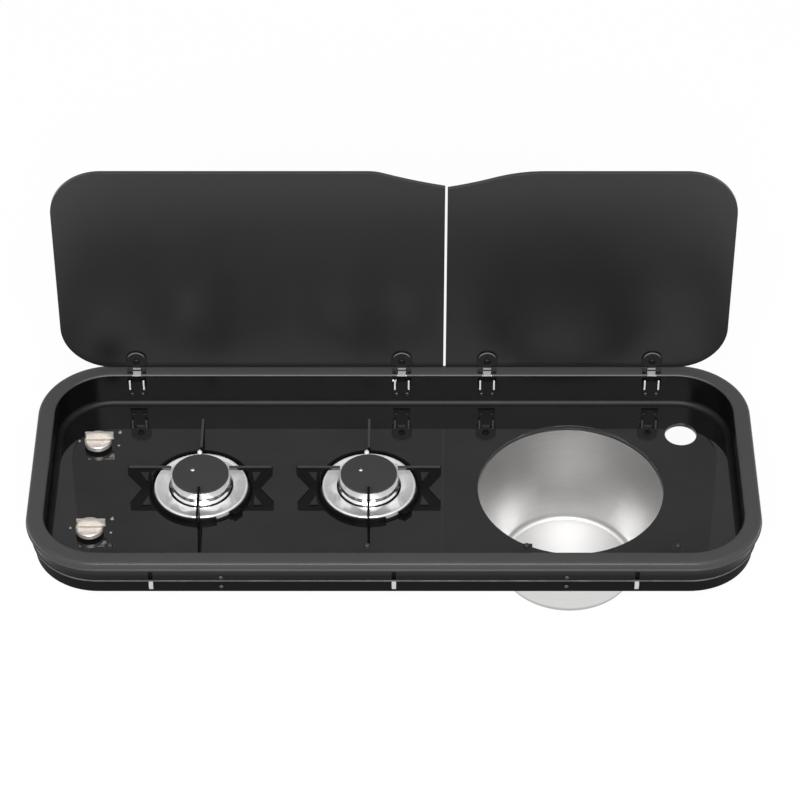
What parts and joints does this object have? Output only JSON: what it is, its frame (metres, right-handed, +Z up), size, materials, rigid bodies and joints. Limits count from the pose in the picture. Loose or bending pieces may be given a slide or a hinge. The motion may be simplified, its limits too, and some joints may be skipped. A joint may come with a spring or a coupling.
{
  "type": "hob and sink combo",
  "caption": "Drop-in camper hob and sink: rimmed black frame, black glass with gas burners, round steel sink, tap hole and split glass lids that fold up.",
  "frame": {"origin": "middle of the frame in plan, at the worktop surface that the frame's seal rests on", "axes": "+X to the right along the length, +Y to the back where the lids hinge, +Z up"},
  "size_m": [0.9, 0.365, 0.5349],
  "materials": {
    "frame_black": "satin powder coat",
    "hob_glass": "polished black",
    "lid_glass": "polished smoked black",
    "black_rubber": "matt",
    "grey_foam": "matt closed-cell strip",
    "sink_steel": "brushed",
    "tray_steel": "galvanised",
    "polished_steel": "polished",
    "cast_aluminium": "turned",
    "black_enamel": "satin enamel",
    "white_ceramic": "glazed tip",
    "brass": "turned",
    "copper_pipe": "drawn tube",
    "satin_nickel": "satin nickel plate",
    "zinc_steel": "zinc plate",
    "hinge_black": "black coated steel",
    "grey_plastic": "moulded"
  },
  "bodies": {
    "unit": {"surround_frame": "frame_black", "base_frame": "frame_black", "worktop_seal": "grey_foam", "glass_bead": "black_rubber", "hob_glass": "hob_glass", "sink_bowl": "sink_steel", "sink_gasket": "black_rubber", "waste_outlet": "polished_steel", "waste_washer": "black_rubber", "waste_nut": "grey_plastic", "burner_tray": "tray_steel", "cap_rivets": "polished_steel", "gas_rail": "tray_steel", "gas_inlet_pipe": "copper_pipe", "stem_seals": "black_rubber", "hinge_brackets": "hinge_black", "hinge_pins": "zinc_steel", "bracket_screws": "hinge_black", "buffer_brackets": "hinge_black", "lid_buffers": "black_rubber", "worktop_clips": "zinc_steel", "frame_screws": "zinc_steel", "left_spill_dish": "polished_steel", "left_burner_body": "cast_aluminium", "left_injector": "brass", "left_burner_head": "cast_aluminium", "left_burner_cap": "black_enamel", "left_spark_electrode": "white_ceramic", "left_thermocouple": "copper_pipe", "left_pan_support": "black_enamel", "left_burner_pipe": "copper_pipe", "right_spill_dish": "polished_steel", "right_burner_body": "cast_aluminium", "right_injector": "brass", "right_burner_head": "cast_aluminium", "right_burner_cap": "black_enamel", "right_spark_electrode": "white_ceramic", "right_thermocouple": "copper_pipe", "right_pan_support": "black_enamel", "right_burner_pipe": "copper_pipe", "rear_gas_valve": "brass", "front_gas_valve": "brass"},
    "left_lid_body": {"left_lid": "lid_glass", "left_hinge_leaves": "hinge_black", "left_hinge_caps": "hinge_black", "left_hinge_clamp_screws": "hinge_black"},
    "right_lid_body": {"right_lid": "lid_glass", "right_hinge_leaves": "hinge_black", "right_hinge_caps": "hinge_black", "right_hinge_clamp_screws": "hinge_black"},
    "rear_plunger_body": {"rear_valve_plunger": "brass"},
    "rear_knob_body": {"rear_valve_stem": "zinc_steel", "rear_knob": "satin_nickel"},
    "front_plunger_body": {"front_valve_plunger": "brass"},
    "front_knob_body": {"front_valve_stem": "zinc_steel", "front_knob": "satin_nickel"}
  },
  "joints": [
    {"name": "left_lid_hinge", "type": "hinge", "parent": "unit", "child": "left_lid_body", "pos_m": [0, 0.1687, 0.0257], "axis": [1, 0, 0], "range_deg": [0, 90]},
    {"name": "right_lid_hinge", "type": "hinge", "parent": "unit", "child": "right_lid_body", "pos_m": [0, 0.1687, 0.0257], "axis": [1, 0, 0], "range_deg": [0, 90]},
    {"name": "rear_knob_push", "type": "slide", "parent": "unit", "child": "rear_plunger_body", "axis": [0, 0, -1], "range_m": [0, 0.004], "stiffness_N_per_m": 800, "springref_m": -0.004},
    {"name": "rear_knob_turn", "type": "hinge", "parent": "rear_plunger_body", "child": "rear_knob_body", "pos_m": [-0.375, 0.079, 0], "axis": [0, 0, 1], "range_deg": [0, 210]},
    {"name": "front_knob_push", "type": "slide", "parent": "unit", "child": "front_plunger_body", "axis": [0, 0, -1], "range_m": [0, 0.004], "stiffness_N_per_m": 800, "springref_m": -0.004},
    {"name": "front_knob_turn", "type": "hinge", "parent": "front_plunger_body", "child": "front_knob_body", "pos_m": [-0.375, -0.079, 0], "axis": [0, 0, 1], "range_deg": [0, 210]}
  ]
}
